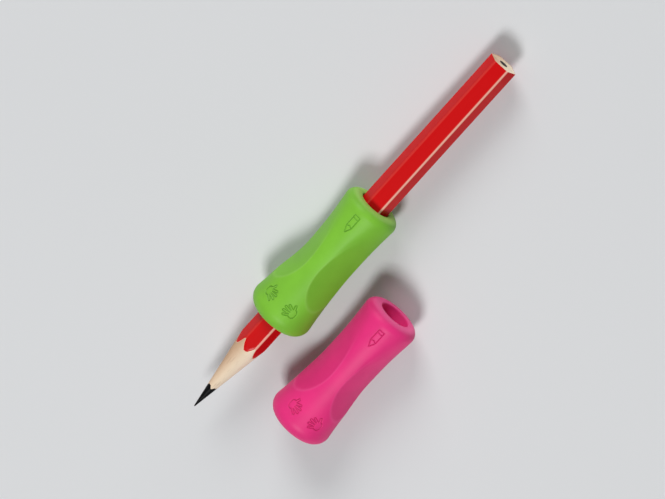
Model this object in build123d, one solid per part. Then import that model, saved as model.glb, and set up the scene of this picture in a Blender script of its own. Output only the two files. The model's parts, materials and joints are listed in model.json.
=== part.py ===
from build123d import *

import math
import os

# A soft finger-scooped grip on a sharpened hexagonal pencil, with a spare grip lying beside it.
# Lengths are in millimetres and angles in degrees. Each piece is first drawn upright on its own axis:
# z = 0 is a grip's lower end, the pencil's point lies below it, and +X is the ridge that faces up when
# the grip lies on a table. The pieces are then laid on the table, z = 0, with the pencil along +X.

# Pencil
pencil_length = 120.0
across_flats = 6.95
corner_round = 0.8
lacquer_thickness = 0.12
lead_diameter = 2.3
sharpen_half_angle = 9.0
point_radius = 0.15

# Grip body, with its outside given as rubber walls over the bore
bore_clearance = 0.2
grip_length = 40.0
flare_wall = 5.05
waist_wall = 3.05
waist_height = 25.0
crown_wall = 3.75
nose_round = 3.6
rim_round = 2.2
mouth_round = 0.4

# Finger scoops
scoop_count = 3
scoop_wall = 1.57
scoop_height = 20.2
scoop_cross_radius = 26.0
scoop_tip_radius = 26.0
scoop_tip_sweep = 60.0
scoop_run_out_radius = 60.0

# Layout on the table
grip_above_point = 31.7
fitted_ridge_turn = 11.0
spare_ridge_turn = -2.0
spare_setback = 18.0
spare_gap = 4.7

# Sizes that follow from the ones above
pencil_radius = (across_flats / 2 - corner_round) / math.cos(math.radians(30)) + corner_round
bore_radius = pencil_radius + bore_clearance
flare_radius = bore_radius + flare_wall
waist_radius = bore_radius + waist_wall
crown_radius = bore_radius + crown_wall
scoop_floor_radius = bore_radius + scoop_wall


def hexagonal_bar(flats, corner):
    """Bar with rounded corners and a flat on +X, from the pencil's point to its tail."""
    outline = RegularPolygon(flats / 2, 6, major_radius=False, rotation=30)
    outline = fillet(outline.vertices(), corner)
    return Pos(0, 0, -grip_above_point) * extrude(outline, pencil_length)


def sharpened_space():
    """Turned solid that holds all that a sharpener leaves of the pencil."""
    reach = across_flats
    shoulder = (reach - point_radius) / math.tan(math.radians(sharpen_half_angle))
    top = shoulder + pencil_length
    outline = Polyline((0, 0), (point_radius, 0), (reach, shoulder), (reach, top), (0, top), close=True)
    turned = revolve(Plane.XZ * make_face(outline), Axis.Z)
    return Pos(0, 0, -grip_above_point) * turned


def pencil_pieces():
    """Lead, the two grooved slats glued round it and the lacquer over them."""
    space = sharpened_space()
    lacquered = hexagonal_bar(across_flats, corner_round)
    wood = hexagonal_bar(across_flats - 2 * lacquer_thickness, corner_round - lacquer_thickness)
    lead = Pos(0, 0, -grip_above_point) * extrude(Circle(lead_diameter / 2), pencil_length)
    casing = (wood - lead) & space
    return {
        "upper_slat": split(casing, bisect_by=Plane.YZ, keep=Keep.TOP),
        "lower_slat": split(casing, bisect_by=Plane.YZ, keep=Keep.BOTTOM),
        "graphite_lead": lead & space,
        "lacquer_coat": (lacquered - wood) & space,
    }


def rounded(section, corner, radius):
    """Section with its corner nearest to the given point rounded."""
    vertex = section.vertices().sort_by_distance(corner)[0]
    return section.fillet_2d(radius, [vertex])


def grip_section():
    """Half section of a grip, x out from the axis and y up: bore, flared nose, waist and crown."""
    nose = (flare_radius, 0)
    rim = (crown_radius, grip_length)
    lower_mouth = (bore_radius, 0)
    upper_mouth = (bore_radius, grip_length)
    side = ThreePointArc(nose, (waist_radius, waist_height), rim)
    ends = Polyline(rim, upper_mouth, lower_mouth, nose)
    section = make_face([side, *ends.edges()]).face()
    section = rounded(section, nose, min(nose_round, 0.8 * (flare_wall - mouth_round)))
    section = rounded(section, rim, min(rim_round, 0.8 * (crown_wall - mouth_round)))
    section = rounded(section, lower_mouth, mouth_round)
    return rounded(section, upper_mouth, mouth_round)


def scoop_cutter():
    """Space outside one finger scoop on the +X side: a fingertip hollow that runs out upwards."""
    deepest = (scoop_floor_radius, scoop_height)
    run_out_sweep = math.degrees(math.asin((grip_length - scoop_height) / scoop_run_out_radius))
    hollow = JernArc(deepest, (0, -1), scoop_tip_radius, scoop_tip_sweep)
    run_out = JernArc(deepest, (0, 1), scoop_run_out_radius, -run_out_sweep)
    tip = hollow @ 1
    top = run_out @ 1
    outside = tip.X + flare_radius
    rest = Polyline((top.X, top.Y), (outside, top.Y), (outside, tip.Y), (tip.X, tip.Y))
    section = make_face([hollow, run_out, *rest.edges()])
    crown_axis = Axis((scoop_floor_radius - scoop_cross_radius, 0, 0), (0, 0, 1))
    return revolve(Plane.XZ * section, crown_axis).rotate(crown_axis, 180)


def grip():
    """One moulded grip, upright on its bore."""
    body = revolve(Plane.XZ * grip_section(), Axis.Z)
    cutter = scoop_cutter()
    for number in range(scoop_count):
        body -= Rot(0, 0, (number + 0.5) * 360 / scoop_count) * cutter
    return body


def resting_line():
    """Tilt in radians and height of the axis of a grip that lies on the rounds of both its ends."""
    arcs = grip_section().edges().filter_by(GeomType.CIRCLE)
    nose = arcs.sort_by_distance((flare_radius, 0))[0]
    rim = arcs.sort_by_distance((crown_radius, grip_length))[0]
    out = rim.arc_center.X - nose.arc_center.X
    along = rim.arc_center.Y - nose.arc_center.Y
    tilt = math.atan2(out, along) + math.asin((rim.radius - nose.radius) / math.hypot(out, along))
    height = nose.arc_center.X * math.cos(tilt) - nose.arc_center.Y * math.sin(tilt) + nose.radius
    return tilt, height


def lying(along, across, turn):
    """Place on the table for an upright piece whose lower end goes to the given spot."""
    tilt, height = resting_line()
    axis = Vector(math.cos(tilt), 0, math.sin(tilt))
    up = Vector(-math.sin(tilt), 0, math.cos(tilt))
    ridge = up * math.cos(math.radians(turn)) + Vector(0, 1, 0) * math.sin(math.radians(turn))
    return Plane(origin=(along, across, height), x_dir=ridge, z_dir=axis).location


moulding = grip()
spare_across = -(moulding.bounding_box().size.Y + spare_gap)
pieces = {
    "green_grip": lying(0, 0, fitted_ridge_turn) * moulding,
    "pink_grip": lying(-spare_setback, spare_across, spare_ridge_turn) * moulding,
}
for name, piece in pencil_pieces().items():
    pieces[name] = lying(0, 0, 0) * piece

# Origin under the middle of the set, on the table
boxes = [piece.bounding_box() for piece in pieces.values()]
middle_x = (min(box.min.X for box in boxes) + max(box.max.X for box in boxes)) / 2
middle_y = (min(box.min.Y for box in boxes) + max(box.max.Y for box in boxes)) / 2
os.makedirs("parts", exist_ok=True)
for name, piece in pieces.items():
    export_step(Pos(-middle_x, -middle_y, 0) * piece, f"parts/{name}.step")
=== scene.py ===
"""Two soft pencil grips, one fitted on a sharpened pencil and one loose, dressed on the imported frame.

Every shape is worked out upright on its own axis in millimetres: z runs up the grip or the pencil and
x points to the ridge that faces up. A Placement then lays the points in the frame, in metres.
"""

from __future__ import annotations

import json
import logging
import math
from collections.abc import Sequence
from dataclasses import dataclass, replace
from enum import Enum
from itertools import pairwise

import bpy
import numpy as np
from mathutils import Matrix, Vector


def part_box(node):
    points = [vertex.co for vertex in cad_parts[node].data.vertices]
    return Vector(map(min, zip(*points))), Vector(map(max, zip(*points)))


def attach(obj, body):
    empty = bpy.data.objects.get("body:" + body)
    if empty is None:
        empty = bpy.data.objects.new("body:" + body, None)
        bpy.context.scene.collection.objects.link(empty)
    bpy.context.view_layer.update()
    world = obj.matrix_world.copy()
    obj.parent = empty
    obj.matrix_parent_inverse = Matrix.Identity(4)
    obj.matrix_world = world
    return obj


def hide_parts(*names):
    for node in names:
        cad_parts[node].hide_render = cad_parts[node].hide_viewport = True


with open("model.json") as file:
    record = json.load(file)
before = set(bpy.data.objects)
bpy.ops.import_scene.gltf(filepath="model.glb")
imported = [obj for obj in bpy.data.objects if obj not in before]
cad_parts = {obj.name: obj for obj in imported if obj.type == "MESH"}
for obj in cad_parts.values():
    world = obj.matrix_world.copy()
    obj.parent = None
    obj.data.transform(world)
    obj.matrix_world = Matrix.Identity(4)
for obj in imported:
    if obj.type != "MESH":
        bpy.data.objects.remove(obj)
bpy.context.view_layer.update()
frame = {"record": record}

MM = 0.001
FULL_TURN = 2.0 * math.pi
QUARTER_TURN = 0.5 * math.pi
IMAGE_WIDTH_PX = 665
IMAGE_HEIGHT_PX = 499

Colour = tuple[float, float, float]
Span = tuple[float, float]
Socket = bpy.types.NodeSocket

log = logging.getLogger("pencil_grips")


def smooth_step(span: Span, value: np.ndarray) -> np.ndarray:
    """Eases from 0 to 1 as a value crosses a span, with no kink at either end.

    Args:
        span: Values at which 0 and 1 are reached.
        value: Values to ease.

    Returns:
        3 s^2 - 2 s^3, with s the share of the span that is crossed.
    """
    low, high = span
    share = np.clip((value - low) / (high - low), 0.0, 1.0)
    return share * share * (3.0 - 2.0 * share)


def smooth_min(first: np.ndarray, second: np.ndarray, width: np.ndarray) -> np.ndarray:
    """Lesser of two fields, with the crease between them rounded over a width.

    Args:
        first: One field.
        second: The other field.
        width: Difference between the fields at which the rounding starts.

    Returns:
        min(first, second) less a quarter of width times the squared share of overlap.
    """
    overlap = np.clip(1.0 - np.abs(first - second) / width, 0.0, 1.0)
    return np.minimum(first, second) - 0.25 * width * overlap * overlap


def lobe(angle: np.ndarray, middle_deg: float, power: int) -> np.ndarray:
    """Swell that is 1 at a middle angle and 0 opposite it: (1/2 + 1/2 cos(a - m)) to a power."""
    return (0.5 + 0.5 * np.cos(angle - math.radians(middle_deg))) ** power


def polar_points(radius: np.ndarray, angle: np.ndarray, height: np.ndarray) -> np.ndarray:
    """Points (r cos a, r sin a, z) from broadcast polar arrays."""
    radius, angle, height = np.broadcast_arrays(radius, angle, height)
    return np.stack([radius * np.cos(angle), radius * np.sin(angle), height], axis=-1)


def arc_points(middle: np.ndarray, radius: float, start: float, stop: float, count: int) -> np.ndarray:
    """Points of an arc in the half section: middle + r (cos a, sin a), from a start to a stop angle."""
    angle = np.linspace(start, stop, count)
    return middle + radius * np.stack([np.cos(angle), np.sin(angle)], axis=-1)


def grid_faces(rows: int, columns: int, close_rows: bool, close_columns: bool) -> np.ndarray:
    """Quads of a grid, wrapped round in either direction where asked.

    Args:
        rows: Number of rows of points.
        columns: Number of points in a row.
        close_rows: Join the last row to the first.
        close_columns: Join the last column to the first.

    Returns:
        Array of point numbers, one row of four for each quad.
    """
    row = np.arange(rows if close_rows else rows - 1)[:, None]
    across = np.arange(columns if close_columns else columns - 1)[None, :]
    here = row * columns
    below = (row + 1) % rows * columns
    beside = (across + 1) % columns
    corners = [here + across, here + beside, below + beside, below + across]
    return np.stack(np.broadcast_arrays(*corners), axis=-1).reshape(-1, 4)


@dataclass(frozen=True)
class Placement:
    """Where an upright shape lies in the frame, in metres."""

    origin: np.ndarray
    axis: np.ndarray
    ridge: np.ndarray

    def lay(self, points: np.ndarray) -> np.ndarray:
        """Carries upright points in millimetres into the frame: origin + x ridge + y side + z axis."""
        basis = np.stack([self.ridge, np.cross(self.axis, self.ridge), self.axis])
        return self.origin + points.reshape(-1, 3) @ basis * MM

    def turned(self, degrees: float) -> Placement:
        """Turns the ridge about the axis, from straight up towards +Y.

        Args:
            degrees: Angle of the turn.

        Returns:
            The turned placement, with the ridge at up cos(t) + side sin(t).
        """
        turn = math.radians(degrees)
        side = np.cross(self.ridge, self.axis)
        return replace(self, ridge=self.ridge * math.cos(turn) + side * math.sin(turn))


def make_piece(
    name: str,
    points: np.ndarray,
    faces: Sequence[Sequence[int]],
    material: bpy.types.Material,
    marks: dict[str, np.ndarray] | None = None,
    sharp_deg: float = 180.0,
) -> bpy.types.Object:
    """Puts points and faces into a smooth mesh object at the origin.

    Args:
        name: Name of the piece.
        points: Its points in the frame, in metres.
        faces: Point numbers of each face, facing outwards.
        material: Its finish.
        marks: Values at the points that the finish reads, by name.
        sharp_deg: Angle between faces from which their edge shows as sharp.

    Returns:
        The new object.
    """
    mesh = bpy.data.meshes.new(name)
    mesh.from_pydata(points, [], faces)
    mesh.polygons.foreach_set("use_smooth", np.ones(len(mesh.polygons), dtype=bool))
    mesh.set_sharp_from_angle(angle=math.radians(sharp_deg))
    for mark, values in (marks or {}).items():
        attribute = mesh.attributes.new(mark, "FLOAT", "POINT")
        attribute.data.foreach_set("value", np.ascontiguousarray(values, dtype=np.float32).ravel())
    mesh.materials.append(material)
    mesh.update()
    piece = bpy.data.objects.new(name, mesh)
    bpy.context.scene.collection.objects.link(piece)
    return piece


def dress(piece: bpy.types.Object, body: str, slot: str, *nodes: str) -> None:
    """Lets a piece ride on its body and hides the nodes of the frame that it stands for.

    Args:
        piece: Piece to dress.
        body: Body that carries it.
        slot: Material slot of the record; not used.
        nodes: Nodes of the frame that it stands for.
    """
    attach(piece, body)
    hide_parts(*nodes)
    log.info("%s rides on %s, %d faces", piece.name, body, len(piece.data.polygons))


class Sign(Enum):
    """Small sunk outline signs on a grip, drawn in millimetres from the sign's middle."""

    PENCIL = "pencil"
    LEFT_HAND = "left hand"
    RIGHT_HAND = "right hand"

    def bars(self) -> np.ndarray:
        """Round-ended bars that make up the sign.

        Returns:
            Array of bars, each (x, y, x, y, radius): x across the grip, y towards its upper end. The pencil
            is a drawing of thin lines; a hand is a palm, four spread fingers and a thumb.
        """
        if self is Sign.PENCIL:
            side = 0.78
            tail = 2.4
            band = 1.6
            neck = -0.6
            shoulder = -1.0
            point = -2.6
            sides = [(-side, shoulder), (-side, tail), (side, tail), (side, shoulder)]
            outline = [*sides, (0.0, point), (-side, shoulder)]
            ring = [(-side, band), (side, band)]
            cut = [(-side, shoulder), (0.0, neck), (side, shoulder)]
            lines = [*pairwise(outline), *pairwise(ring), *pairwise(cut)]
            return np.array([(*start, *end, 0.0) for start, end in lines])
        palm = (0.62, -0.3, 0.62, 0.35, 0.92)
        first_finger = (0.1, 0.75, -1.35, 1.4, 0.27)
        middle_finger = (-0.1, 0.25, -1.95, 0.55, 0.27)
        ring_finger = (-0.1, -0.25, -1.95, -0.5, 0.27)
        little_finger = (0.1, -0.75, -1.4, -1.45, 0.25)
        thumb = (0.55, 0.9, 0.1, 2.1, 0.29)
        hand = np.array([palm, first_finger, middle_finger, ring_finger, little_finger, thumb])
        if self is Sign.LEFT_HAND:
            hand[:, [0, 2]] *= -1.0
        return hand

    def groove(self, across: np.ndarray, along: np.ndarray, width: float) -> np.ndarray:
        """Share of the groove's depth at points of the surface: a rounded channel along the outline.

        Args:
            across: Distance across the grip from the sign's middle.
            along: Distance along the grip from the sign's middle.
            width: Full width of the channel.

        Returns:
            cos squared of the distance to the outline of the joined bars, 0 beyond half of the width.
        """
        place = np.stack([across, along], axis=-1)[..., None, :]
        bars = self.bars()
        start = bars[:, :2]
        run = bars[:, 2:4] - start
        share = np.clip(((place - start) * run).sum(-1) / (run * run).sum(-1), 0.0, 1.0)
        outside = np.linalg.norm(place - start - share[..., None] * run, axis=-1) - bars[:, 4]
        distance = np.abs(outside.min(-1))
        return np.cos(np.clip(distance / width, 0.0, 0.5) * math.pi) ** 2


@dataclass(frozen=True)
class SignPlace:
    """Where one sign sits on the grip: its angle, the height of its middle and its scale."""

    sign: Sign
    angle_deg: float
    height: float
    scale: float


@dataclass(frozen=True)
class Grip:
    """One moulded grip: a waisted tube with finger scoops and small sunk signs, its creases and mouths
    paler with wear and a painted highlight.

    Sizes are in millimetres. The outside is given as rubber walls over the bore.
    """

    bore_radius: float
    length: float = 40.0
    flare_wall: float = 5.05
    waist_wall: float = 3.05
    waist_height: float = 25.0
    crown_wall: float = 3.75
    nose_round: float = 3.6
    rim_round: float = 2.2
    mouth_round: float = 0.4
    scoop_count: int = 3
    scoop_wall: float = 1.57
    scoop_height: float = 20.2
    scoop_cross_radius: float = 26.0
    scoop_tip_radius: float = 26.0
    scoop_run_out_radius: float = 60.0
    crease_width: float = 0.1
    faded_crease_width: float = 1.1
    crease_fade: Span = (22.0, 34.0)
    crease_rub_and_highlight: float = 0.4
    crease_band_depth: float = 0.25
    mouth_band_drop: float = 0.7
    signs: tuple[SignPlace, ...] = (
        SignPlace(Sign.PENCIL, angle_deg=0.0, height=34.3, scale=1.05),
        SignPlace(Sign.LEFT_HAND, angle_deg=-27.0, height=6.8, scale=0.97),
        SignPlace(Sign.RIGHT_HAND, angle_deg=27.0, height=6.8, scale=0.97),
    )
    sign_depth: float = 0.25
    sign_stroke: float = 0.4
    sign_reach: float = 3.2
    hands_top: float = 10.4
    pencil_sign_foot: float = 31.4
    side_rows: tuple[int, int, int] = (72, 90, 58)
    nose_rows: int = 20
    rim_rows: int = 14
    mouth_rows: int = 5
    bore_rows: int = 5
    fine_angle_deg: float = 42.0
    fine_columns: int = 160
    plain_columns: int = 196

    def side_circle(self) -> tuple[np.ndarray, float]:
        """Circle of the waisted side, through the flare, the waist and the crown.

        Returns:
            Its centre (radius, height), which is as far from each of the three, and its own radius.
        """
        first = np.array([self.bore_radius + self.flare_wall, 0.0])
        second = np.array([self.bore_radius + self.waist_wall, self.waist_height])
        third = np.array([self.bore_radius + self.crown_wall, self.length])
        chords = 2.0 * np.array([second - first, third - first])
        squares = np.array([second @ second - first @ first, third @ third - first @ first])
        centre = np.linalg.solve(chords, squares)
        return centre, float(np.hypot(*(first - centre)))

    def end_round(self, height: float, round_radius: float) -> tuple[np.ndarray, float]:
        """Round that touches the waisted side, with its centre at a given height.

        Args:
            height: Height of the round's centre.
            round_radius: Its radius.

        Returns:
            Its centre (radius, height), which is both radii away from the side's centre, and the angle at
            which it meets the side.
        """
        centre, big = self.side_circle()
        reach = math.sqrt((big + round_radius) ** 2 - (height - centre[1]) ** 2)
        middle = np.array([centre[0] - reach, height])
        towards = centre - middle
        return middle, math.atan2(towards[1], towards[0])

    def section(self) -> np.ndarray:
        """Closed half section: mouth, nose, waisted side, rim, mouth and bore, each an arc or a line.

        Returns:
            Points (radius, height), closest together where the signs are.
        """
        nose, nose_angle = self.end_round(self.nose_round, self.nose_round)
        rim, rim_angle = self.end_round(self.length - self.rim_round, self.rim_round)
        side_foot = nose[1] + self.nose_round * math.sin(nose_angle)
        side_top = rim[1] + self.rim_round * math.sin(rim_angle)
        zones = pairwise((side_foot, self.hands_top, self.pencil_sign_foot, side_top))
        rows = [np.linspace(*zone, count, endpoint=False) for zone, count in zip(zones, self.side_rows)]
        heights = np.concatenate(rows)[1:]
        centre, big = self.side_circle()
        side = np.stack([centre[0] - np.sqrt(big**2 - (heights - centre[1]) ** 2), heights], axis=-1)
        lower = np.array([self.bore_radius + self.mouth_round, self.mouth_round])
        upper = np.array([self.bore_radius + self.mouth_round, self.length - self.mouth_round])
        bore_heights = np.linspace(upper[1], lower[1], self.bore_rows)[1:-1]
        bore = np.stack([np.full_like(bore_heights, self.bore_radius), bore_heights], axis=-1)
        return np.concatenate(
            [
                arc_points(lower, self.mouth_round, math.pi, 1.5 * math.pi, self.mouth_rows),
                arc_points(nose, self.nose_round, -QUARTER_TURN, nose_angle, self.nose_rows),
                side,
                arc_points(rim, self.rim_round, rim_angle, QUARTER_TURN, self.rim_rows),
                arc_points(upper, self.mouth_round, QUARTER_TURN, math.pi, self.mouth_rows),
                bore,
            ]
        )

    def columns(self) -> np.ndarray:
        """Angles of the grid's columns.

        Returns:
            Angles of one full turn, closest together across the ridge with the signs.
        """
        fine = math.radians(self.fine_angle_deg)
        front = np.linspace(-fine, fine, self.fine_columns, endpoint=False)
        rest = np.linspace(fine, FULL_TURN - fine, self.plain_columns, endpoint=False)
        return np.concatenate([front, rest])

    def scoop_line(self, height: np.ndarray) -> np.ndarray:
        """Distance from the axis to a scoop's middle line.

        Args:
            height: Heights above the lower end.

        Returns:
            The floor plus R - sqrt(R^2 - d^2), with a small R below the deepest line for the fingertip
            and a large R above it for the run-out.
        """
        away = height - self.scoop_height
        bend = np.where(away < 0.0, self.scoop_tip_radius, self.scoop_run_out_radius)
        return self.bore_radius + self.scoop_wall + bend - np.sqrt(bend**2 - away**2)

    def scoop_radius(self, angle: np.ndarray, height: np.ndarray) -> np.ndarray:
        """Radius of the nearest scoop's face.

        Args:
            angle: Angles round the axis.
            height: Heights above the lower end.

        Returns:
            Radii of a crowned face: a circle about a centre set back by b from the axis,
            r = -b cos(d) + sqrt((q + b)^2 - b^2 sin^2(d)), with q the scoop's middle line and d the angle
            off it.
        """
        line = self.scoop_line(height)
        set_back = self.scoop_cross_radius - self.bore_radius - self.scoop_wall
        pitch = FULL_TURN / self.scoop_count
        away = np.mod(angle, pitch) - 0.5 * pitch
        square = (line + set_back) ** 2 - (set_back * np.sin(away)) ** 2
        return -set_back * np.cos(away) + np.sqrt(square)

    def sign_depths(self, angle: np.ndarray, radius: np.ndarray, height: np.ndarray) -> np.ndarray:
        """Depth of the sunk signs at each point of the outside.

        Args:
            angle: Angles round the axis.
            radius: Radii of the surface.
            height: Heights of the surface.

        Returns:
            Depths in millimetres, the deepest groove at each point, 0 off the signs and in the bore.
        """
        depth = np.zeros_like(radius)
        wrapped = np.mod(angle + math.pi, FULL_TURN) - math.pi
        outside = radius > self.bore_radius + self.mouth_round
        for place in self.signs:
            across = (wrapped - math.radians(place.angle_deg)) * radius / place.scale
            along = (height + np.zeros_like(across) - place.height) / place.scale
            near = outside & (np.abs(across) < self.sign_reach) & (np.abs(along) < self.sign_reach)
            sunk = place.sign.groove(across[near], along[near], self.sign_stroke / place.scale)
            depth[near] = np.maximum(depth[near], self.sign_depth * sunk)
        return depth

    def rubbed(self, body: np.ndarray, scoop: np.ndarray, height: np.ndarray) -> np.ndarray:
        """Wear of the rubber with a painted highlight on it: in full round both mouths, and lightly along
        the creases until they fade.

        Args:
            body: Radii of the section before the scoops are cut.
            scoop: Radii of the scoops' faces.
            height: Heights of the section.

        Returns:
            Shares from 0 to 1: the greater of the creases' and the mouths', each eased off with distance.
        """
        crease = np.clip(1.0 - np.abs(body - scoop) / self.crease_band_depth, 0.0, 1.0)
        kept = 1.0 - smooth_step(self.crease_fade, height)
        half = 0.5 * self.length
        end = smooth_step((half - self.mouth_band_drop, half), np.abs(height - half))
        mouth = smooth_step((self.bore_radius, self.bore_radius + self.mouth_round), body)
        # Paler band: partly wear, partly a painted highlight on the crease edges and round the mouths.
        return np.maximum(self.crease_rub_and_highlight * crease * kept, end * mouth)

    def build(self, name: str, placement: Placement, material: bpy.types.Material) -> bpy.types.Object:
        """Makes the grip as one closed ring of a grid: columns round the axis, rows round the section.

        Args:
            name: Name of the piece.
            placement: Where it lies.
            material: Its rubber.

        Returns:
            The new object: the lesser of the section's and the scoops' radii, less the signs' depth.
        """
        section = self.section()
        body = section[:, :1]
        height = section[:, 1:]
        angle = self.columns()[None, :]
        scoop = self.scoop_radius(angle, height)
        fade = smooth_step(self.crease_fade, height)
        width = self.crease_width + (self.faded_crease_width - self.crease_width) * fade
        radius = smooth_min(body, scoop, width)
        depth = self.sign_depths(angle, radius, height)
        points = placement.lay(polar_points(radius - depth, angle, height))
        faces = grid_faces(*radius.shape, close_rows=True, close_columns=True)
        # One mark holds the paler band of wear and painted highlight; the other holds the signs' depth,
        # which the rubber darkens as painted shade.
        marks = {"sunk": depth / self.sign_depth, "rubbed": self.rubbed(body, scoop, height)}
        return make_piece(name, points, faces.tolist(), material, marks)

    def add(
        self, name: str, placement: Placement, material: bpy.types.Material, slot: str, node: str
    ) -> None:
        """Builds the grip and dresses it on the body of the same name.

        Args:
            name: Name of the piece and of its body.
            placement: Where it lies.
            material: Its rubber.
            slot: Material slot of the record.
            node: Node of the frame that it stands for.
        """
        dress(self.build(name, placement, material), name, slot, node)


@dataclass(frozen=True)
class Wave:
    """Wave round an axis: its count in a full turn, its phase in radians and its height."""

    count: float
    phase: float
    height: float = 1.0

    def at(self, angle: np.ndarray) -> np.ndarray:
        """Values at angles round the axis: h sin(n a + p)."""
        return self.height * np.sin(self.count * angle + self.phase)


@dataclass(frozen=True)
class Pencil:
    """Sharpened hexagonal pencil: lead, two glued slats and lacquer. Sizes in millimetres."""

    length: float = 120.0
    grip_above_point: float = 31.7
    across_flats: float = 6.95
    corner_round: float = 0.8
    lacquer_thickness: float = 0.12
    lead_radius: float = 1.15
    sharpen_half_angle_deg: float = 9.0
    point_radius: float = 0.15
    point_bulge: float = 0.06
    edge_rise: float = 0.25
    teeth: Wave = Wave(count=2.0, phase=-0.35)
    tooth_power: float = 0.8
    tooth_height: float = 1.0
    splinters: Wave = Wave(count=6.5, phase=2.1)
    splinter_height: float = 0.2
    edge_step: float = 0.02
    chips: tuple[Wave, ...] = (Wave(count=23.0, phase=0.4), Wave(count=41.0, phase=1.9, height=0.8))
    chip_depth: float = 0.05
    torn_back: float = 0.9
    torn_deg: float = -20.0
    torn_power: int = 4
    lip: float = 0.08
    corner_span: Span = (0.82, 0.98)
    highlight_corner_deg: float = 30.0
    highlight_power: int = 12
    least_rub: float = 0.03
    painted_lit_span: Span = (-0.4, 0.5)
    sharp_deg: float = 40.0
    columns: int = 288
    point_rows: int = 5
    lead_rows: int = 40
    cone_rows: int = 60
    bar_rows: int = 12
    lacquer_rows: int = 30
    lacquer_crowding: float = 1.5

    def hexagon(self, angle: np.ndarray, inset: float) -> np.ndarray:
        """Radius of the pencil's hexagon with rounded corners and a flat at angle 0.

        Args:
            angle: Angles round the axis.
            inset: Depth below the lacquer's face at which the hexagon is taken.

        Returns:
            Half of the width over cos(a) on a flat; on a corner, the far side of a circle whose centre
            lies on the corner's own line.
        """
        half_side = math.pi / 6.0
        flat = 0.5 * self.across_flats - inset
        corner = self.corner_round - inset
        away = np.abs(np.mod(angle + half_side, 2.0 * half_side) - half_side)
        meeting = math.atan2((flat - corner) * math.tan(half_side), flat)
        to_centre = (flat - corner) / math.cos(half_side)
        off_line = half_side - away
        square = np.clip(corner**2 - (to_centre * np.sin(off_line)) ** 2, 0.0, None)
        rounded = to_centre * np.cos(off_line) + np.sqrt(square)
        return np.where(away < meeting, flat / np.cos(away), rounded)

    def cone_height(self, radius: np.ndarray) -> np.ndarray:
        """Height at which the sharpener's cone has a radius: (r - point's radius) / tan(half angle)."""
        return (radius - self.point_radius) / math.tan(math.radians(self.sharpen_half_angle_deg))

    def cone_radius(self, height: np.ndarray) -> np.ndarray:
        """Radius of the sharpener's cone at a height: point's radius + z tan(half angle)."""
        return self.point_radius + height * math.tan(math.radians(self.sharpen_half_angle_deg))

    def turn(self) -> np.ndarray:
        """Angles of the columns of a full turn."""
        return np.linspace(0.0, FULL_TURN, self.columns, endpoint=False)

    def lay(self, points: np.ndarray, placement: Placement) -> np.ndarray:
        """Carries points measured up from the pencil's point into the frame."""
        return placement.lay(points - [0.0, 0.0, self.grip_above_point])

    def lead_edge(self, angle: np.ndarray) -> np.ndarray:
        """Height at which the bare lead meets the wood: a ragged line of torn wood fibres.

        Args:
            angle: Angles round the axis.

        Returns:
            The lead's own height on the cone, plus a folded wave whose round teeth of lead have pointed
            tongues of wood between them, plus a finer wave of splinters.
        """
        clean = self.cone_height(np.array(self.lead_radius))
        teeth = np.abs(self.teeth.at(angle)) ** self.tooth_power
        splinters = (1.0 - np.abs(self.splinters.at(angle))) ** 2
        return clean + self.edge_rise + self.tooth_height * teeth + self.splinter_height * splinters

    def lacquer_edge(self, angle: np.ndarray, radius: np.ndarray) -> np.ndarray:
        """Height of the lacquer's scalloped front edge, chipped along the cut and torn back on one side.

        Args:
            angle: Angles round the axis.
            radius: Radii of the hexagon at those angles.

        Returns:
            The cone's height at the hexagon, plus fine waves of chips that stay above it, plus a swell
            about the torn side.
        """
        chips = self.chip_depth * sum(wave.height + wave.at(angle) for wave in self.chips)
        torn = self.torn_back * lobe(angle, self.torn_deg, self.torn_power)
        return self.cone_height(radius) + chips + torn

    def build_lead(self, placement: Placement, material: bpy.types.Material) -> bpy.types.Object:
        """Makes the lead from rings: a blunt point, a cone to its ragged edge and a rod to the tail.

        Args:
            placement: Where the pencil lies.
            material: Its graphite.

        Returns:
            The new object, with one point on the axis closing each end.
        """
        angle = self.turn()
        edge = self.lead_edge(angle)
        tip = np.sin(np.linspace(0.0, QUARTER_TURN, self.point_rows))[1:-1, None] + np.zeros_like(edge)
        cone = np.linspace(0.0, 1.0, self.lead_rows)[:, None] * edge
        tail = np.full_like(edge, self.length)
        rod = np.stack([edge + self.edge_step, 0.5 * (edge + tail), tail])
        rod_radius = np.full_like(rod, self.lead_radius)
        radius = np.concatenate([tip * self.point_radius, self.cone_radius(cone), rod_radius])
        height = np.concatenate([-self.point_bulge * (1.0 - tip**2), cone, rod])
        rings = polar_points(radius, angle, height).reshape(-1, 3)
        ends = np.array([[0.0, 0.0, height[0].min()], [0.0, 0.0, self.length]])
        quads = grid_faces(*radius.shape, close_rows=False, close_columns=True)
        first = np.arange(self.columns)
        last = first + len(rings) - self.columns
        point_cap = np.stack([np.full_like(first, len(rings)), np.roll(first, -1), first], axis=-1)
        tail_cap = np.stack([np.full_like(first, len(rings) + 1), last, np.roll(last, -1)], axis=-1)
        points = self.lay(np.concatenate([rings, ends]), placement)
        faces = [*quads.tolist(), *point_cap.tolist(), *tail_cap.tolist()]
        return make_piece("pencil_lead", points, faces, material, sharp_deg=self.sharp_deg)

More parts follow.
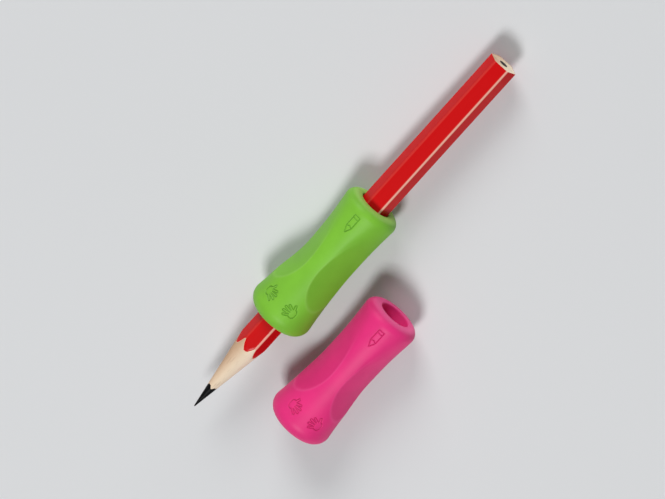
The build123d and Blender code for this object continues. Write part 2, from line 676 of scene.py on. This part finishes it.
    def build_slat(
        self, name: str, middle_deg: float, placement: Placement, material: bpy.types.Material
    ) -> bpy.types.Object:
        """Makes one grooved half of the casing, swept through half a turn and closed on the glue plane.

        Args:
            name: Name of the piece.
            middle_deg: Angle of the half's middle.
            placement: Where the pencil lies.
            material: Its wood.

        Returns:
            The new object: rows up the cone, up the bar, across the tail and back down the lead's groove.
        """
        half = self.columns // 2
        angle = math.radians(middle_deg) + np.linspace(-QUARTER_TURN, QUARTER_TURN, half + 1)
        wood = self.hexagon(angle, self.lacquer_thickness)
        front = self.lead_edge(angle)
        shoulder = self.cone_height(wood)
        cone = front + np.linspace(0.0, 1.0, self.cone_rows)[:, None] * (shoulder - front)
        bar = shoulder + np.linspace(0.0, 1.0, self.bar_rows)[1:, None] * (self.length - shoulder)
        groove = np.stack([np.full_like(angle, self.length), front])
        groove_radius = np.full_like(groove, self.lead_radius)
        radius = np.concatenate([self.cone_radius(cone), np.broadcast_to(wood, bar.shape), groove_radius])
        height = np.concatenate([cone, bar, groove])
        points = polar_points(radius, angle, height)
        quads = grid_faces(*radius.shape, close_rows=True, close_columns=False)
        wall = np.arange(len(radius)) * angle.size
        faces = [*quads.tolist(), wall.tolist(), (wall + half)[::-1].tolist()]
        # One side of the casing is paler: painted light.
        marks = {"sapwood": smooth_step(self.painted_lit_span, points[..., 1] / self.across_flats)}
        return make_piece(name, self.lay(points, placement), faces, material, marks, self.sharp_deg)

    def build_lacquer(self, placement: Placement, material: bpy.types.Material) -> bpy.types.Object:
        """Makes the lacquer as a closed ring of a grid: outside, tail edge, inside and scalloped front.

        Args:
            placement: Where the pencil lies.
            material: Its lacquer.

        Returns:
            The new object, marked where its corners are rubbed, with a painted highlight along one corner,
            and where the undercoat shows at the cut.
        """
        angle = self.turn()
        outer = self.hexagon(angle, 0.0)
        inner = self.hexagon(angle, self.lacquer_thickness)
        middle = 0.5 * (outer + inner)
        front = self.lacquer_edge(angle, outer)
        back = self.lacquer_edge(angle, inner)
        tail = np.full_like(angle, self.length)
        share = np.linspace(0.0, 1.0, self.lacquer_rows)[:, None] ** self.lacquer_crowding
        side = front + self.lip + share * (self.length - front - 2.0 * self.lip)
        rest_radius = np.stack([middle, inner, inner, middle])
        rest_height = np.stack([tail, tail, back, 0.5 * (front + back)])
        radius = np.concatenate([np.broadcast_to(outer, side.shape), rest_radius])
        height = np.concatenate([side, rest_height])
        points = self.lay(polar_points(radius, angle, height), placement)
        # Corners: a little wear on each, and a painted highlight strong along one of them.
        corner = smooth_step(self.corner_span, (outer - outer.min()) / np.ptp(outer))
        corner_wear_and_highlight = self.least_rub + (1.0 - self.least_rub) * lobe(angle, self.highlight_corner_deg, self.highlight_power)
        undercoat = np.zeros_like(radius)
        undercoat[-2] = 1.0
        marks = {"worn": np.broadcast_to(corner * corner_wear_and_highlight, radius.shape), "undercoat": undercoat}
        faces = grid_faces(*radius.shape, close_rows=True, close_columns=True)
        return make_piece("pencil_lacquer", points, faces.tolist(), material, marks, self.sharp_deg)

    def add(self, placement: Placement, materials: dict[str, bpy.types.Material]) -> None:
        """Builds the pencil's four pieces and dresses them on its body.

        Args:
            placement: Where the pencil lies.
            materials: Materials by the names of their finishes.
        """
        lacquer = self.build_lacquer(placement, materials["red_lacquer"])
        upper = self.build_slat("pencil_upper_slat", 0.0, placement, materials["upper_cedar"])
        lower = self.build_slat("pencil_lower_slat", 180.0, placement, materials["lower_cedar"])
        lead = self.build_lead(placement, materials["graphite"])
        dress(lacquer, "pencil", "red_lacquer", "lacquer_coat")
        dress(upper, "pencil", "cedar", "upper_slat")
        dress(lower, "pencil", "cedar", "lower_slat")
        dress(lead, "pencil", "graphite", "graphite_lead")


@dataclass
class NodeBench:
    """Small helper that adds and joins nodes in one tree."""

    tree: bpy.types.NodeTree

    def fill(self, node: bpy.types.Node, inputs: dict[str | int, object]) -> None:
        """Links or sets inputs of a node.

        Args:
            node: Node to fill.
            inputs: What goes into each input, by its name or number: a socket to link, or a value.
        """
        for key, value in inputs.items():
            if isinstance(value, Socket):
                self.tree.links.new(value, node.inputs[key])
            else:
                node.inputs[key].default_value = value

    def add(
        self, kind: str, inputs: dict[str | int, object] | None = None, **settings: object
    ) -> bpy.types.Node:
        """Adds a node.

        Args:
            kind: Node type.
            inputs: What goes into its inputs, by name or number.
            settings: Settings of the node, by name.

        Returns:
            The new node.
        """
        node = self.tree.nodes.new(kind)
        for name, value in settings.items():
            setattr(node, name, value)
        self.fill(node, inputs or {})
        return node


def new_group(name: str, numbers: dict[str, float], outputs: Sequence[str]) -> NodeBench:
    """Starts a shader node group that takes coordinates and numbers and gives numbers.

    Args:
        name: Name of the group.
        numbers: Default of each number that it takes, by name.
        outputs: Names of the numbers that it gives.

    Returns:
        A bench on the group's tree, with its Group Input and Group Output nodes as In and Out.
    """
    tree = bpy.data.node_groups.new(name, "ShaderNodeTree")
    tree.interface.new_socket("Vector", in_out="INPUT", socket_type="NodeSocketVector")
    for number, default in numbers.items():
        made = tree.interface.new_socket(number, in_out="INPUT", socket_type="NodeSocketFloat")
        made.default_value = default
    for output in outputs:
        tree.interface.new_socket(output, in_out="OUTPUT", socket_type="NodeSocketFloat")
    bench = NodeBench(tree)
    bench.add("NodeGroupInput", name="In")
    bench.add("NodeGroupOutput", name="Out")
    return bench


def give_noise(bench: NodeBench, output: str, vector: Socket, scale: Socket, detail: float) -> None:
    """Adds a noise of a vector to a group and leads it to one of the group's outputs."""
    noise = bench.add("ShaderNodeTexNoise", {"Vector": vector, "Scale": scale, "Detail": detail})
    bench.fill(bench.tree.nodes["Out"], {output: noise.outputs["Fac"]})


def grain_group() -> bpy.types.NodeTree:
    """Group with a fine moulded grain and a slow mottle: noise at two scales of the coordinates.

    Returns:
        The group.
    """
    bench = new_group("surface_grain", {"Grain Scale": 4000.0, "Mottle Scale": 150.0}, ("Grain", "Mottle"))
    taken = bench.tree.nodes["In"].outputs
    give_noise(bench, "Grain", taken["Vector"], taken["Grain Scale"], detail=2.0)
    give_noise(bench, "Mottle", taken["Vector"], taken["Mottle Scale"], detail=4.0)
    return bench.tree


def streak_group() -> bpy.types.NodeTree:
    """Group with streaks and broader bands along X: noise on coordinates that are squeezed along it.

    Returns:
        The group.
    """
    band_share = 0.08
    detail = 3.0
    bench = new_group("long_streaks", {"Scale": 900.0, "Stretch": 0.05}, ("Streaks", "Bands"))
    taken = bench.tree.nodes["In"].outputs
    squeeze = bench.add("ShaderNodeCombineXYZ", {"X": taken["Stretch"], "Y": 1.0, "Z": 1.0})
    factors = {0: taken["Vector"], 1: squeeze.outputs[0]}
    squeezed = bench.add("ShaderNodeVectorMath", factors, operation="MULTIPLY")
    broader = bench.add("ShaderNodeMath", {0: taken["Scale"], 1: band_share}, operation="MULTIPLY")
    give_noise(bench, "Streaks", squeezed.outputs[0], taken["Scale"], detail)
    give_noise(bench, "Bands", squeezed.outputs[0], broader.outputs[0], detail)
    return bench.tree


@dataclass(frozen=True)
class Patterns:
    """Node groups that the finishes share, and the rise of the axes towards +X in radians."""

    grain: bpy.types.NodeTree
    streaks: bpy.types.NodeTree
    rise: float


def tone(colour: Colour, share: float) -> Colour:
    """Colour with each part times a share, up to 1."""
    red, green, blue = (min(1.0, share * part) for part in colour)
    return red, green, blue


class MaterialBench(NodeBench):
    """Bench on a new material: its shader, and coordinates whose X follows the axes of the set."""

    def __init__(self, name: str, patterns: Patterns) -> None:
        """Starts a material.

        Args:
            name: Name of the material.
            patterns: Shared node groups and the rise of the axes.
        """
        self.material = bpy.data.materials.new(name)
        self.material.use_nodes = True
        super().__init__(self.material.node_tree)
        self.shader = self.tree.nodes["Principled BSDF"]
        place = self.add("ShaderNodeTexCoord").outputs["Object"]
        self.place = self.add("ShaderNodeMapping", {"Vector": place, "Rotation": (0.0, patterns.rise, 0.0)})

    def group(self, tree: bpy.types.NodeTree, **numbers: float) -> dict[str, Socket]:
        """Places a shared group, fed with the coordinates.

        Args:
            tree: The group.
            numbers: Numbers that it takes, by name with _ for a space.

        Returns:
            The group's outputs, by name.
        """
        inputs = {name.replace("_", " "): value for name, value in numbers.items()}
        inputs["Vector"] = self.place.outputs["Vector"]
        return dict(self.add("ShaderNodeGroup", inputs, node_tree=tree).outputs.items())

    def mark(self, name: str) -> Socket:
        """Values that the piece's mesh holds under a name."""
        return self.add("ShaderNodeAttribute", attribute_name=name).outputs["Fac"]

    def blend(self, share: Socket, low: Colour, high: Colour, span: Span) -> Socket:
        """Colour that runs from low to high as a share crosses a span.

        Args:
            share: Value that drives it.
            low: Colour below the span.
            high: Colour above it.
            span: Values of the share at which each is reached.

        Returns:
            The colour's socket.
        """
        ramp = self.add("ShaderNodeValToRGB", {"Fac": share})
        for element, position, colour in zip(ramp.color_ramp.elements, span, (low, high)):
            element.position = position
            element.color = (*colour, 1.0)
        return ramp.outputs["Color"]

    def over(self, share: Socket, under: Socket, colour: Colour, most: float) -> Socket:
        """Lays a colour over another where a share is high.

        Args:
            share: Value from 0 to 1.
            under: Colour beneath.
            colour: Colour laid over it.
            most: Cover where the share is 1.

        Returns:
            The colour's socket.
        """
        cover = self.add("ShaderNodeMath", {0: share, 1: most}, operation="MULTIPLY")
        # A colour mix takes its factor at input 0 and its colours at 6 and 7. Its result is output 2.
        layers = {0: cover.outputs[0], 6: under, 7: (*colour, 1.0)}
        return self.add("ShaderNodeMix", layers, data_type="RGBA").outputs[2]

    def spread(self, share: Socket, span: Span) -> Socket:
        """Value that runs through a span as a share goes from 0 to 1."""
        low, high = span
        return self.add("ShaderNodeMapRange", {"Value": share, "To Min": low, "To Max": high}).outputs[0]

    def bump(self, height: Socket, depth: float, strength: float, under: Socket | None = None) -> Socket:
        """Bump over the surface or over another bump.

        Args:
            height: Height from 0 to 1.
            depth: Height of 1 in metres.
            strength: Share of the bump that shows.
            under: Normal that it lies over.

        Returns:
            The normal's socket.
        """
        node = self.add("ShaderNodeBump", {"Height": height, "Distance": depth, "Strength": strength})
        if under is not None:
            self.fill(node, {"Normal": under})
        return node.outputs["Normal"]

    def shade(
        self, colour: Socket, roughness: Socket, normal: Socket, specular: float
    ) -> bpy.types.Material:
        """Leads a finish into the shader.

        Args:
            colour: Base colour.
            roughness: Roughness.
            normal: Normal.
            specular: Specular level, the same all over.

        Returns:
            The finished material.
        """
        self.fill(self.shader, {"Base Color": colour, "Roughness": roughness, "Normal": normal})
        self.shader.inputs["Specular IOR Level"].default_value = specular
        return self.material


MOTTLE_SPAN: Span = (0.3, 0.7)
WHITE: Colour = (1.0, 1.0, 1.0)
BLACK: Colour = (0.0, 0.0, 0.0)


@dataclass(frozen=True)
class Rubber:
    """Soft satin rubber: a slow mottle and a moulded grain, paler with wear and a painted highlight on
    creases and mouths, with painted shade in the sunk signs.

    Scales are in features to a metre and depths in metres, here and in the other finishes.
    """

    name: str
    colour: Colour
    sunk_shade: Colour
    rubbed: Colour
    tones: Span = (0.93, 1.05)
    rub_and_highlight_cover: float = 0.8
    sunk_shade_cover: float = 0.55
    grain_scale: float = 5200.0
    mottle_scale: float = 120.0
    grain_depth: float = 0.00004
    grain_strength: float = 0.7
    roughness: Span = (0.42, 0.54)
    specular: float = 0.24

    def build(self, patterns: Patterns) -> bpy.types.Material:
        """Makes the material.

        Args:
            patterns: Shared node groups and the rise of the axes.

        Returns:
            The material.
        """
        bench = MaterialBench(self.name, patterns)
        grain = bench.group(patterns.grain, Grain_Scale=self.grain_scale, Mottle_Scale=self.mottle_scale)
        low, high = (tone(self.colour, share) for share in self.tones)
        colour = bench.blend(grain["Mottle"], low, high, MOTTLE_SPAN)
        # Paler where worn, with a painted highlight along the creases and round the mouths.
        colour = bench.over(bench.mark("rubbed"), colour, self.rubbed, self.rub_and_highlight_cover)
        # Darker in the sunk signs: painted shade in the grooves.
        colour = bench.over(bench.mark("sunk"), colour, self.sunk_shade, self.sunk_shade_cover)
        normal = bench.bump(grain["Grain"], self.grain_depth, self.grain_strength)
        return bench.shade(colour, bench.spread(grain["Mottle"], self.roughness), normal, self.specular)


@dataclass(frozen=True)
class Lacquer:
    """Gloss lacquer: faint bands along the pencil, rubbed thin at corners with a painted highlight along
    one, primer along the cut.
    """

    name: str
    colour: Colour
    thin_and_highlight: Colour
    primer: Colour
    tones: Span = (0.94, 1.06)
    thin_and_highlight_cover: float = 0.9
    primer_span: Span = (0.55, 0.75)
    primer_cover: float = 0.9
    streak_scale: float = 1400.0
    streak_stretch: float = 0.03
    streak_depth: float = 0.00002
    streak_strength: float = 0.12
    grain_scale: float = 2200.0
    mottle_scale: float = 90.0
    grain_depth: float = 0.00002
    grain_strength: float = 0.06
    roughness: Span = (0.14, 0.22)
    specular: float = 0.1

    def build(self, patterns: Patterns) -> bpy.types.Material:
        """Makes the material.

        Args:
            patterns: Shared node groups and the rise of the axes.

        Returns:
            The material.
        """
        bench = MaterialBench(self.name, patterns)
        streaks = bench.group(patterns.streaks, Scale=self.streak_scale, Stretch=self.streak_stretch)
        grain = bench.group(patterns.grain, Grain_Scale=self.grain_scale, Mottle_Scale=self.mottle_scale)
        low, high = (tone(self.colour, share) for share in self.tones)
        colour = bench.blend(streaks["Bands"], low, high, MOTTLE_SPAN)
        # Pale corner colour: wear, and a painted highlight along one corner.
        colour = bench.over(bench.mark("worn"), colour, self.thin_and_highlight, self.thin_and_highlight_cover)
        cut = bench.blend(bench.mark("undercoat"), BLACK, WHITE, self.primer_span)
        colour = bench.over(cut, colour, self.primer, self.primer_cover)
        brushed = bench.bump(streaks["Streaks"], self.streak_depth, self.streak_strength)
        normal = bench.bump(grain["Grain"], self.grain_depth, self.grain_strength, brushed)
        return bench.shade(colour, bench.spread(grain["Mottle"], self.roughness), normal, self.specular)


@dataclass(frozen=True)
class Cedar:
    """Bare cut cedar: growth bands and pores along the pencil, painted light on one side, a cut grain."""

    name: str
    pale: Colour
    dark: Colour
    sapwood: Colour
    shift: float
    band_span: Span = (0.36, 0.62)
    painted_lit_cover: float = 0.85
    pore_span: Span = (0.3, 0.42)
    pore_tone: float = 0.7
    pore_cover: float = 0.3
    streak_scale: float = 2600.0
    streak_stretch: float = 0.04
    streak_depth: float = 0.00005
    streak_strength: float = 0.5
    grain_scale: float = 6000.0
    mottle_scale: float = 260.0
    grain_depth: float = 0.00002
    grain_strength: float = 0.3
    roughness: Span = (0.62, 0.78)
    specular: float = 0.25

    def build(self, patterns: Patterns) -> bpy.types.Material:
        """Makes the material.

        Args:
            patterns: Shared node groups and the rise of the axes.

        Returns:
            The material.
        """
        bench = MaterialBench(self.name, patterns)
        bench.place.inputs["Location"].default_value = (0.0, self.shift, 2.0 * self.shift)
        streaks = bench.group(patterns.streaks, Scale=self.streak_scale, Stretch=self.streak_stretch)
        grain = bench.group(patterns.grain, Grain_Scale=self.grain_scale, Mottle_Scale=self.mottle_scale)
        colour = bench.blend(streaks["Bands"], self.dark, self.pale, self.band_span)
        # Paler towards one side: painted light.
        colour = bench.over(bench.mark("sapwood"), colour, self.sapwood, self.painted_lit_cover)
        pores = bench.blend(streaks["Streaks"], WHITE, BLACK, self.pore_span)
        colour = bench.over(pores, colour, tone(self.dark, self.pore_tone), self.pore_cover)
        fibres = bench.bump(streaks["Streaks"], self.streak_depth, self.streak_strength)
        normal = bench.bump(grain["Grain"], self.grain_depth, self.grain_strength, fibres)
        return bench.shade(colour, bench.spread(grain["Mottle"], self.roughness), normal, self.specular)


@dataclass(frozen=True)
class Graphite:
    """Fired graphite: near black with a dull sheen and fine scratches along the pencil."""

    name: str
    dark: Colour
    shine: Colour
    shine_span: Span = (0.35, 0.75)
    streak_scale: float = 5000.0
    streak_stretch: float = 0.15
    streak_depth: float = 0.00002
    streak_strength: float = 0.2
    mottle_scale: float = 600.0
    roughness: Span = (0.3, 0.42)
    specular: float = 0.1

    def build(self, patterns: Patterns) -> bpy.types.Material:
        """Makes the material.

        Args:
            patterns: Shared node groups and the rise of the axes.

        Returns:
            The material.
        """
        bench = MaterialBench(self.name, patterns)
        streaks = bench.group(patterns.streaks, Scale=self.streak_scale, Stretch=self.streak_stretch)
        grain = bench.group(patterns.grain, Mottle_Scale=self.mottle_scale)
        colour = bench.blend(streaks["Streaks"], self.dark, self.shine, self.shine_span)
        normal = bench.bump(streaks["Streaks"], self.streak_depth, self.streak_strength)
        return bench.shade(colour, bench.spread(grain["Mottle"], self.roughness), normal, self.specular)


# Pale wood colour of the painted light on one side of the casing.
PAINTED_LIT_SIDE: Colour = (0.97, 0.88, 0.68)
FINISHES: tuple[Rubber | Lacquer | Cedar | Graphite, ...] = (
    Rubber(
        "green_rubber",
        colour=(0.214, 0.545, 0.041),
        sunk_shade=(0.09, 0.26, 0.015),
        rubbed=(0.34, 0.66, 0.13),
    ),
    Rubber(
        "pink_rubber",
        colour=(0.83, 0.032, 0.212),
        sunk_shade=(0.42, 0.010, 0.09),
        rubbed=(0.92, 0.11, 0.33),
    ),
    Lacquer(
        "red_lacquer",
        colour=(0.62, 0.006, 0.007),
        thin_and_highlight=(0.95, 0.52, 0.40),
        primer=(0.85, 0.66, 0.48),
    ),
    Cedar("upper_cedar", pale=(0.81, 0.59, 0.41), dark=(0.62, 0.40, 0.25), sapwood=PAINTED_LIT_SIDE, shift=0.017),
    Cedar("lower_cedar", pale=(0.78, 0.56, 0.38), dark=(0.60, 0.38, 0.23), sapwood=PAINTED_LIT_SIDE, shift=0.013),
    Graphite("graphite", dark=(0.002, 0.002, 0.0025), shine=(0.010, 0.010, 0.011)),
)


@dataclass(frozen=True)
class Lamp:
    """Square soft lamp that faces the set. Lengths in metres, power in watts."""

    name: str
    towards: tuple[float, float, float]
    size: float
    power: float
    distance: float = 1.5

    def hang(self, aim: Vector) -> None:
        """Hangs the lamp in its direction from a point, facing that point.

        Args:
            aim: Point that it faces.
        """
        light = bpy.data.lights.new(self.name, "AREA")
        light.shape = "SQUARE"
        light.size = self.size
        light.energy = self.power
        towards = Vector(self.towards)
        lamp = bpy.data.objects.new(self.name, light)
        lamp.location = aim + towards.normalized() * self.distance
        lamp.rotation_euler = towards.to_track_quat("Z", "Y").to_euler()
        bpy.context.scene.collection.objects.link(lamp)


@dataclass(frozen=True)
class Studio:
    """Floor, light and camera round the laid-out set. Lengths in metres unless a name says otherwise.

    One lamp hangs behind the tail on the pencil's side, one above the point, and a weak one low behind.
    """

    floor_colour: Colour = (0.69, 0.70, 0.71)
    floor_tone: float = 0.985
    floor_mottle_scale: float = 6.0
    floor_roughness: float = 0.85
    floor_size: float = 3.0
    lamps: tuple[Lamp, ...] = (
        Lamp("back", (0.60, 0.60, 0.53), size=0.7, power=12.0),
        Lamp("front", (-0.42, -0.26, 0.87), size=0.4, power=14.3),
        Lamp("low", (1.0, 0.2, 0.15), size=0.5, power=2.5),
    )
    world_colour: Colour = (0.95, 0.97, 1.0)
    world_strength: float = 0.15
    camera_elevation_deg: float = 70.4
    pencil_slope_deg: float = 47.9
    pixels_per_mm: float = 4.02
    aim_px: tuple[float, float] = (324.6, 261.9)
    lens_mm: float = 200.0
    sensor_mm: float = 36.0
    clip_start: float = 0.01

    def lay_floor(self, patterns: Patterns) -> None:
        """Lays a plain pale floor.

        Args:
            patterns: Shared node groups.
        """
        bench = MaterialBench("pale_floor", replace(patterns, rise=0.0))
        grain = bench.group(patterns.grain, Mottle_Scale=self.floor_mottle_scale)
        low = tone(self.floor_colour, self.floor_tone)
        colour = bench.blend(grain["Mottle"], low, self.floor_colour, MOTTLE_SPAN)
        bench.fill(bench.shader, {"Base Color": colour, "Roughness": self.floor_roughness})
        square = np.array([[-1.0, -1.0, 0.0], [1.0, -1.0, 0.0], [1.0, 1.0, 0.0], [-1.0, 1.0, 0.0]])
        corners = 0.5 * self.floor_size * square
        make_piece("floor", corners, [(0, 1, 2, 3)], bench.material)

    def light(self, aim: Vector) -> None:
        """Hangs the lamps and sets an even world.

        Args:
            aim: Point that the lamps face.
        """
        for lamp in self.lamps:
            lamp.hang(aim)
        world = bpy.data.worlds.new("studio")
        bpy.context.scene.world = world
        world.use_nodes = True
        background = world.node_tree.nodes["Background"]
        background.inputs["Color"].default_value = (*self.world_colour, 1.0)
        background.inputs["Strength"].default_value = self.world_strength

    def set_camera(self, aim: Vector) -> None:
        """Sets the camera: above the tail, rolled so that the pencil rises to the right.

        Args:
            aim: Point that lands on the aimed pixel.
        """
        rise = math.radians(self.camera_elevation_deg)
        slope = math.radians(self.pencil_slope_deg)
        back = Vector((math.cos(rise), 0.0, math.sin(rise)))
        along = Vector((math.sin(rise), 0.0, -math.cos(rise)))
        across = Vector((0.0, -1.0, 0.0))
        right = along * math.cos(slope) + across * math.sin(slope)
        up = along * math.sin(slope) - across * math.cos(slope)
        pixel = MM / self.pixels_per_mm
        off_right = (self.aim_px[0] - 0.5 * IMAGE_WIDTH_PX) * pixel
        off_up = (0.5 * IMAGE_HEIGHT_PX - self.aim_px[1]) * pixel
        target = aim - right * off_right - up * off_up
        distance = IMAGE_WIDTH_PX * pixel * self.lens_mm / self.sensor_mm
        data = bpy.data.cameras.new("camera")
        data.lens = self.lens_mm
        data.sensor_width = self.sensor_mm
        data.clip_start = self.clip_start
        camera = bpy.data.objects.new("camera", data)
        bpy.context.scene.collection.objects.link(camera)
        turn = Matrix((right, up, back)).transposed().to_4x4()
        camera.matrix_world = Matrix.Translation(target + back * distance) @ turn
        bpy.context.scene.camera = camera

    def build(self, patterns: Patterns, aim: Vector) -> None:
        """Builds the floor, the light and the camera.

        Args:
            patterns: Shared node groups.
            aim: Middle of the fitted grip's axis.
        """
        self.lay_floor(patterns)
        self.light(aim)
        self.set_camera(aim)


@dataclass(frozen=True)
class Layout:
    """Places of the pencil and the two grips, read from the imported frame: all three share one rise."""

    bore_radius: float
    rise: float
    pencil: Placement
    fitted: Placement
    spare: Placement

    @classmethod
    def read(cls, grip_length: float, fitted_turn_deg: float, spare_turn_deg: float) -> Layout:
        """Reads the bore of the spare grip and the boxes of both grips.

        Args:
            grip_length: Length of a grip in millimetres.
            fitted_turn_deg: Turn of the fitted grip's ridge from straight up.
            spare_turn_deg: Turn of the spare grip's ridge.

        Returns:
            The layout: the spare starts half a length below the middle of its bore, and the fitted grip
            and the pencil lie as far from it as the boxes do.
        """
        bore = next(mount for mount in frame["record"]["mounts"] if mount["name"] == "spare_bore")
        axis = np.array(bore["axis"], dtype=float)
        axis /= np.linalg.norm(axis)
        up = np.array([-axis[2], 0.0, axis[0]])
        spare_end = np.array(bore["pos_m"]) - axis * 0.5 * grip_length * MM
        spare_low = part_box("pink_grip")[0]
        fitted_low, fitted_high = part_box("green_grip")
        fitted_along = spare_end[0] + fitted_low.x - spare_low.x
        fitted_across = 0.5 * (fitted_low.y + fitted_high.y)
        pencil = Placement(np.array([fitted_along, fitted_across, spare_end[2]]), axis, up)
        spare = Placement(spare_end, axis, up)
        return cls(
            bore_radius=bore["dims"]["r_mm"],
            rise=math.asin(axis[2]),
            pencil=pencil,
            fitted=pencil.turned(fitted_turn_deg),
            spare=spare.turned(spare_turn_deg),
        )


def main() -> None:
    """Builds the grips and the pencil, then the studio round them."""
    logging.basicConfig(level=logging.INFO, format="%(message)s")
    bpy.context.scene.view_settings.view_transform = "Standard"
    layout = Layout.read(Grip.length, fitted_turn_deg=11.0, spare_turn_deg=-2.0)
    patterns = Patterns(grain_group(), streak_group(), layout.rise)
    materials = {finish.name: finish.build(patterns) for finish in FINISHES}
    grip = Grip(layout.bore_radius)
    grip.add("fitted_grip", layout.fitted, materials["green_rubber"], "green_rubber", "green_grip")
    grip.add("spare_grip", layout.spare, materials["pink_rubber"], "pink_rubber", "pink_grip")
    Pencil().add(layout.pencil, materials)
    fitted_middle = layout.pencil.lay(np.array([[0.0, 0.0, 0.5 * grip.length]]))[0]
    Studio().build(patterns, Vector(fitted_middle))


if __name__ == "__main__":
    main()
